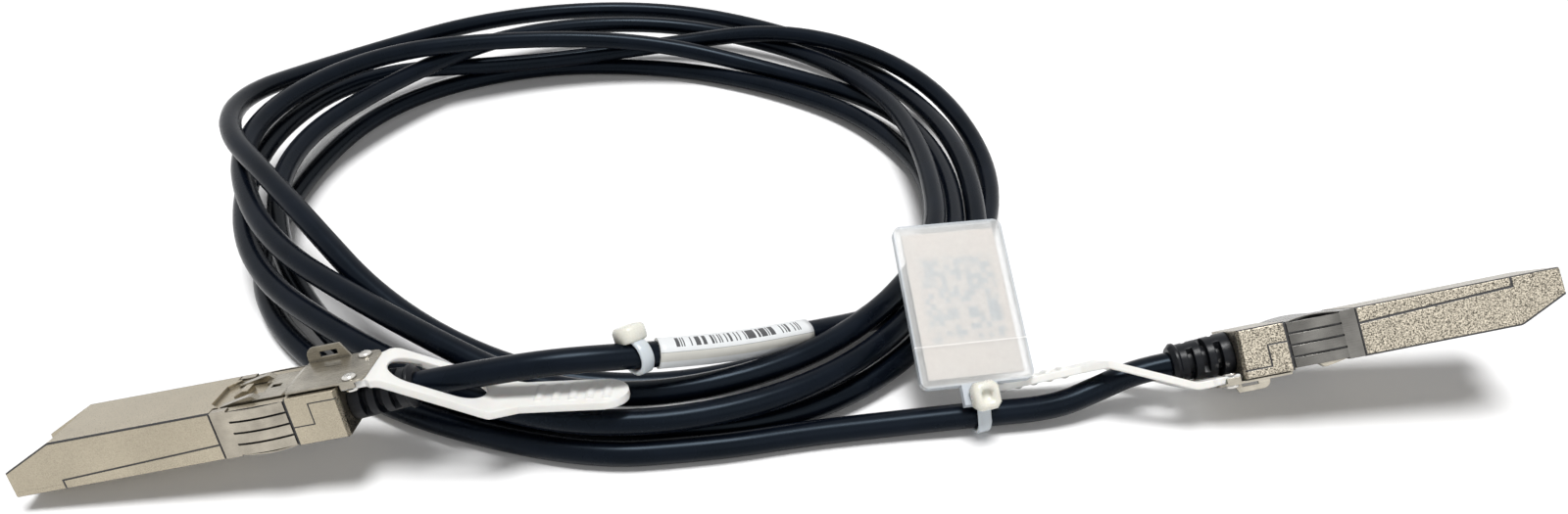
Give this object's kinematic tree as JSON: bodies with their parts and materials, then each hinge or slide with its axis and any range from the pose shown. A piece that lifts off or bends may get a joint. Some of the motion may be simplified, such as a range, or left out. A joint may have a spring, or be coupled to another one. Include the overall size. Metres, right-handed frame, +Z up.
{
  "type": "direct attach copper cable",
  "caption": "Passive twinax patch cable lying in a loose coil, with a latching small form-factor plug, spring release slide and pull tab at each end, cable ties, wrap label and tag.",
  "frame": {"origin": "centre of the two plugs' footprint, on the table", "axes": "+Z up from the table, +X from plug a to plug b"},
  "size_m": [0.2654, 0.1887, 0.0286],
  "materials": {
    "plated_shell": "satin nickel plating on die-cast zinc",
    "spring_sheet": "bright stamped stainless sheet",
    "slide_sheet": "satin stamped stainless sheet",
    "spring_wire": "bright spring wire",
    "rivet_steel": "bright domed rivet",
    "card_mask": "dark red solder mask",
    "contact_gold": "hard gold plating",
    "chip_black": "moulded epoxy",
    "ferrule_metal": "crimped sleeve",
    "core_white": "extruded core insulation",
    "relief_black": "moulded satin black",
    "tab_white": "translucent off-white moulding",
    "jacket_black": "extruded satin black jacket",
    "label_white": "satin wrap label with plain bars",
    "tie_nylon": "translucent natural nylon",
    "tag_clear": "milky clear pouch",
    "tag_card": "pale pink card"
  },
  "bodies": {
    "cable_assembly": {"shell_base_a": "plated_shell", "shell_cover_a": "plated_shell", "paddle_card_a": "card_mask", "card_contacts_a": "contact_gold", "memory_chip_a": "chip_black", "emi_collar_a": "spring_sheet", "slide_spring_a": "spring_wire", "strain_relief_a": "relief_black", "crimp_ferrule_a": "ferrule_metal", "twinax_pairs_a": "core_white", "shell_base_b": "plated_shell", "shell_cover_b": "plated_shell", "paddle_card_b": "card_mask", "card_contacts_b": "contact_gold", "memory_chip_b": "chip_black", "emi_collar_b": "spring_sheet", "slide_spring_b": "spring_wire", "strain_relief_b": "relief_black", "crimp_ferrule_b": "ferrule_metal", "twinax_pairs_b": "core_white", "cable_tail_a": "jacket_black", "cable_coil": "jacket_black", "cable_tail_b": "jacket_black", "label_tie": "tie_nylon", "wrap_label": "label_white", "tag_case": "tag_clear", "tag_insert": "tag_card", "tag_tie": "tie_nylon"},
    "slide_a": {"release_slide_a": "slide_sheet", "tab_rivets_a": "rivet_steel", "pull_tab_a": "tab_white"},
    "slide_b": {"release_slide_b": "slide_sheet", "tab_rivets_b": "rivet_steel", "pull_tab_b": "tab_white"}
  },
  "joints": [
    {"name": "release_slide_a", "type": "slide", "parent": "cable_assembly", "child": "slide_a", "axis": [0.9831, 0.0938, 0.1573], "range_m": [0, 0.0025], "stiffness_N_per_m": 120, "springref_m": -0.002, "deforming": ["slide_spring_a"]},
    {"name": "release_slide_b", "type": "slide", "parent": "cable_assembly", "child": "slide_b", "axis": [-0.978, -0.0749, -0.1946], "range_m": [0, 0.0025], "stiffness_N_per_m": 120, "springref_m": -0.002, "deforming": ["slide_spring_b"]}
  ]
}
